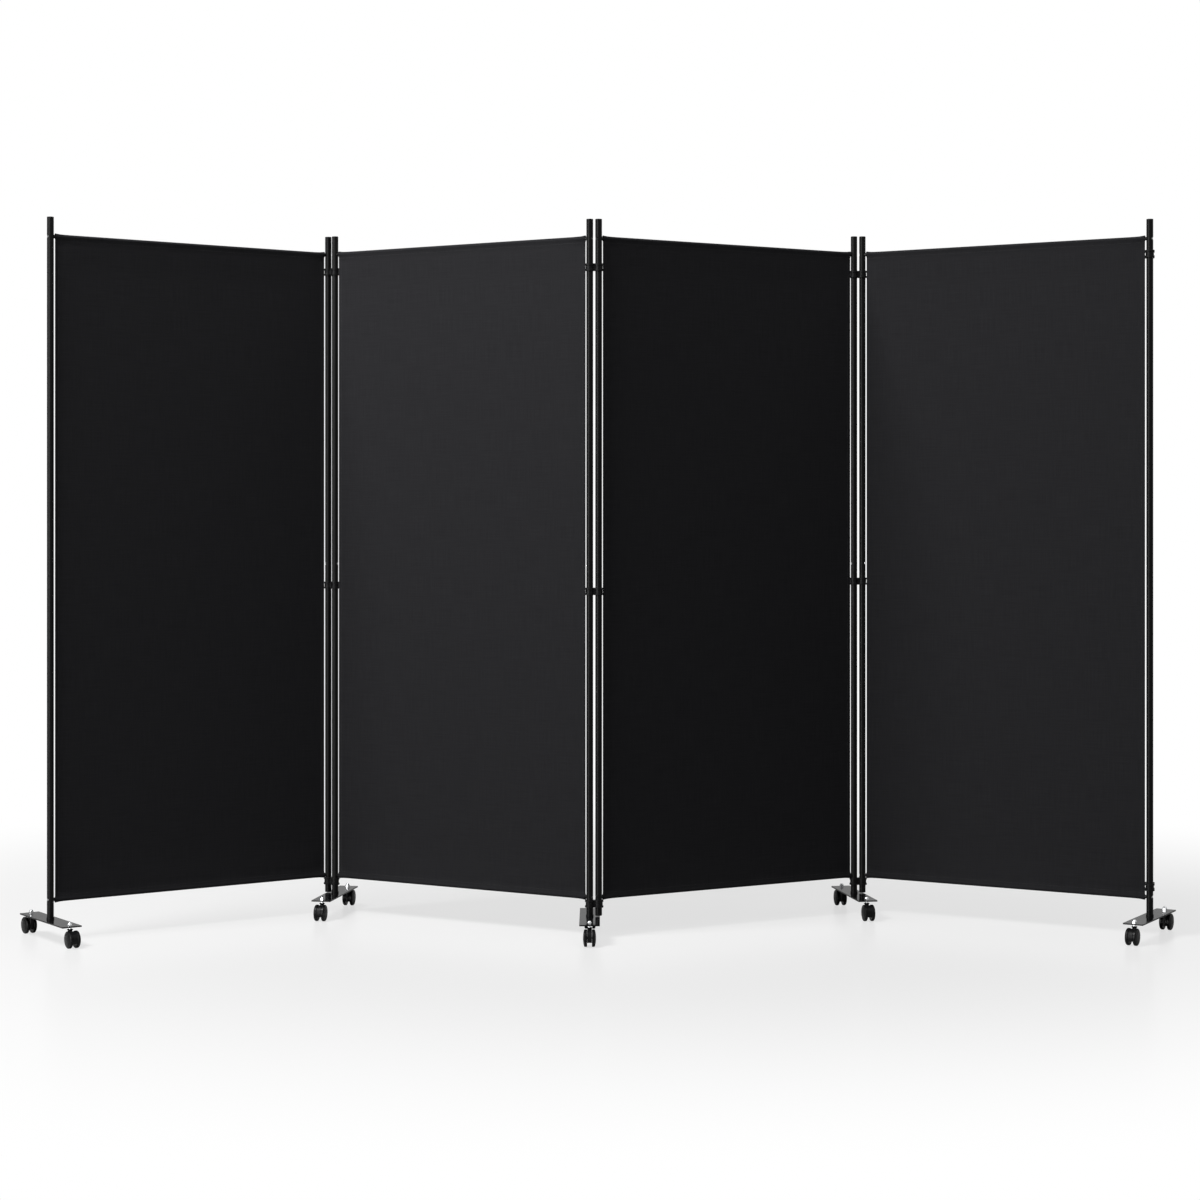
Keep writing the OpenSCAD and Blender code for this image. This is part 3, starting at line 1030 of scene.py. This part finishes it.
    def sew(self) -> bpy.types.Object:
        """Model the rows of stitches that hold the sleeves and hems.

        Returns:
            The stitches of the whole cover as one piece.
        """
        pick(*[self.sewing.sew(row) for row in self.stitch_rows()])
        bpy.ops.object.join()
        return bpy.context.object

    def fit_to(self, places: list[PanelPlace]) -> None:
        """Model the cover and its stitches, and fix a copy of both to every panel.

        Args:
            places: The panels' places.
        """
        flat, seams = self.cut(), self.sew()
        for place in places:
            number, ripples = place.number, Ripples.of_panel(place.number)
            cover = copy_piece(flat, f"cover_{number}")
            stitches = copy_piece(seams, f"stitches_{number}")
            self.pull(cover, ripples)
            self.pull(stitches, ripples)
            apply_modifier(
                cover, "SOLIDIFY", thickness=self.cloth, offset=0.0, use_even_offset=True
            )
            for piece, finish, crease in (
                (cover, CLOTH, self.cover_crease),
                (stitches, THREAD, self.thread_crease),
            ):
                pick(piece)
                bpy.ops.object.shade_smooth_by_angle(angle=math.radians(crease))
                dress(piece, finish)
                settle(piece, place.matrix)
                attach(piece, f"panel_{number}")
                LOG.info("%s: %d faces", piece.name, len(piece.data.polygons))
            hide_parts(f"fabric_{number}")
        pick(flat, seams)
        bpy.ops.object.delete()


# Frame pieces


@dataclass
class FramePieces:
    """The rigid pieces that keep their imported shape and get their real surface."""

    nodes: dict[str, bpy.types.Object]
    slots: dict[str, str]

    def finish_all(self) -> None:
        """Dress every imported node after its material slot. The covers replace the fabric nodes."""
        for name, node in self.nodes.items():
            finish = SLOT_FINISHES.get(self.slots[name])
            if finish:
                dress(node, finish)
                LOG.info("%s: %s", name, finish.name)


# Studio


@dataclass(frozen=True)
class Softbox:
    """A softbox: its place, the point that it faces, its width and height, and its power in watts.

    One that is for gloss only shows in shiny surfaces and leaves matt ones as they are.
    """

    name: str
    place: tuple[float, float, float]
    aim: tuple[float, float, float]
    size: tuple[float, float]
    power: float
    gloss_only: bool = False

    def hang(self) -> None:
        """Hang the lamp."""
        deselect_all()
        bpy.ops.object.light_add(type="AREA", location=self.place)
        lamp = bpy.context.object
        lamp.name = self.name
        lamp.data.shape = "RECTANGLE"
        lamp.data.size, lamp.data.size_y = self.size
        lamp.data.energy = self.power
        lamp.visible_camera = False
        lamp.visible_diffuse = not self.gloss_only
        beam = Vector(self.aim) - Vector(self.place)
        lamp.rotation_euler = beam.to_track_quat("-Z", "Y").to_euler()


@dataclass
class Studio:
    """A pale floor that fades into a white surround, soft lamps and the camera.

    The fade is a range of distances over the floor. The surround's rear band comes up over a range
    of a direction's Y, and ends over a range of its Z.
    """

    floor_size: float = 60.0
    floor_colour: str = "#cfcfcf"
    floor_roughness: float = 0.22
    floor_bounce: float = 0.25
    floor_glow: float = 0.65
    fade: tuple[float, float] = (1.1, 3.1)
    fade_scale: tuple[float, float, float] = (1.0, 1.25, 1.0)
    fade_shift: tuple[float, float, float] = (0.0, -0.2, 0.0)
    ambient: float = 0.06
    rear: float = 2.5
    rear_spread: tuple[float, float] = (0.0, 0.5)
    rear_height: tuple[float, float] = (0.2, 0.4)
    mirrored: float = 0.5
    camera_place: tuple[float, float, float] = (0.0001, -6.1205, 0.989)
    sensor: float = 36.0
    lens: float = 75.5
    shift: float = -0.0675
    lamps: tuple[Softbox, ...] = (
        Softbox("key", (-2.8, -1.8, 4.4), (0, 0, 0.9), (1.8, 1.8), 350),
        Softbox("top", (2.0, -1.0, 3.5), (0, 0, 0), (3.0, 3.0), 35),
        Softbox("gloss", (-4.0, -4.0, 1.4), (0, 0, 1.0), (3.2, 2.6), 200, gloss_only=True),
    )

    def build(self) -> None:
        """Set up the floor, the surround, the lamps and the camera."""
        self.lay_floor()
        self.set_surround()
        for lamp in self.lamps:
            lamp.hang()
        self.place_camera()
        bpy.context.scene.view_settings.view_transform = "Standard"

    def lay_floor(self) -> None:
        """Lay a floor that shows shadows near the screen and turns white to the eye away from it.

        To diffuse rays it is darker than it looks, so that it throws little light on the screen.
        """
        deselect_all()
        bpy.ops.mesh.primitive_plane_add(size=self.floor_size)
        floor = bpy.context.object
        floor.name = "floor"
        material = bpy.data.materials.new("painted studio floor")
        material.use_nodes = True
        tree = material.node_tree
        tree.nodes.clear()
        path = add_node(tree, "ShaderNodeLightPath")
        bounce = (*[self.floor_bounce] * 3, 1.0)
        tint = blend(tree, path.outputs["Is Diffuse Ray"], linear(self.floor_colour), bounce)
        paint = add_node(
            tree,
            "ShaderNodeBsdfPrincipled",
            {"Roughness": self.floor_roughness},
            {"Base Color": tint},
        )
        place = add_node(tree, "ShaderNodeTexCoord").outputs["Object"]
        stretch = {"Location": self.fade_shift, "Scale": self.fade_scale}
        spread = add_node(tree, "ShaderNodeMapping", stretch, {"Vector": place}).outputs["Vector"]
        far = add_node(tree, "ShaderNodeVectorMath", {"operation": "LENGTH"}, {0: spread})
        away = remap(tree, far.outputs["Value"], self.fade, (self.floor_glow, 1.0), Curve.SOFT)
        seen = compute(tree, "MULTIPLY", away, path.outputs["Is Camera Ray"])
        white = add_node(tree, "ShaderNodeEmission", {"Color": WHITE, "Strength": 1.0})
        both = add_node(
            tree,
            "ShaderNodeMixShader",
            links={0: seen, 1: paint.outputs["BSDF"], 2: white.outputs["Emission"]},
        )
        add_node(tree, "ShaderNodeOutputMaterial", links={"Surface": both.outputs["Shader"]})
        floor.data.materials.append(material)

    def set_surround(self) -> None:
        """Surround the set with light: faint and even, with a low bright band behind the screen.

        The eye, and light that passes through a piece, see the surround as white. Glossy surfaces
        mirror it as a grey.
        """
        world = bpy.data.worlds.new("studio")
        bpy.context.scene.world = world
        world.use_nodes = True
        tree = world.node_tree
        tree.nodes.clear()
        direction = add_node(tree, "ShaderNodeTexCoord").outputs["Generated"]
        split = add_node(tree, "ShaderNodeSeparateXYZ", links={0: direction})
        behind = remap(tree, split.outputs["Y"], self.rear_spread, (0.0, self.rear), Curve.SOFT)
        low = remap(tree, split.outputs["Z"], self.rear_height, (1.0, 0.0), Curve.SOFT)
        level = compute(tree, "MULTIPLY_ADD", behind, low, self.ambient)
        path = add_node(tree, "ShaderNodeLightPath")
        for ray, strength in (
            ("Is Glossy Ray", self.mirrored),
            ("Is Camera Ray", 1.0),
            ("Is Transmission Ray", 1.0),
        ):
            links = {0: path.outputs[ray], 2: level}
            level = add_node(tree, "ShaderNodeMix", {3: strength}, links).outputs[0]
        light = add_node(tree, "ShaderNodeBackground", {"Color": WHITE}, {"Strength": level})
        add_node(tree, "ShaderNodeOutputWorld", links={"Surface": light.outputs["Background"]})

    def place_camera(self) -> None:
        """Stand the camera level in front of the screen, just under a metre above the floor."""
        bpy.ops.object.camera_add(location=self.camera_place, rotation=(QUARTER_TURN, 0, 0))
        camera = bpy.context.object
        camera.data.sensor_width = self.sensor
        camera.data.lens = self.lens
        camera.data.shift_y = self.shift
        bpy.context.scene.camera = camera


# Assembly

RAIL_R = 4 * MM
POST_JOINTS = (
    ("foot_1_pivot", "clip_pivot_1R"),
    ("clip_pivot_2L", "clip_pivot_2R"),
    ("clip_pivot_3L", "clip_pivot_3R"),
    ("clip_pivot_4L", "end_clip_top_pivot"),
)


def find_panels(joints: list[dict]) -> list[PanelPlace]:
    """Read the panels' places from the joints on their posts.

    Args:
        joints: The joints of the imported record.

    Returns:
        The four panels, from left to right.
    """
    places = {joint["name"]: Vector(joint["pos_m"]) for joint in joints}
    return [
        PanelPlace(number, places[left], places[right])
        for number, (left, right) in enumerate(POST_JOINTS, start=1)
    ]


def main() -> None:
    """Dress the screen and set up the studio."""
    logging.basicConfig(level=logging.INFO, format="%(message)s")
    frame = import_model()
    slots = {part["node"]: part["material_slot"] for part in frame["record"]["subparts"]}
    FramePieces(frame["nodes"], slots).finish_all()
    panels = find_panels(frame["joints"])
    low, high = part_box("rails_1")
    FabricCover(panels[0].pitch, low[2] + RAIL_R, high[2] - RAIL_R).fit_to(panels)
    Studio().build()
    deselect_all()


if __name__ == "__main__":
    main()
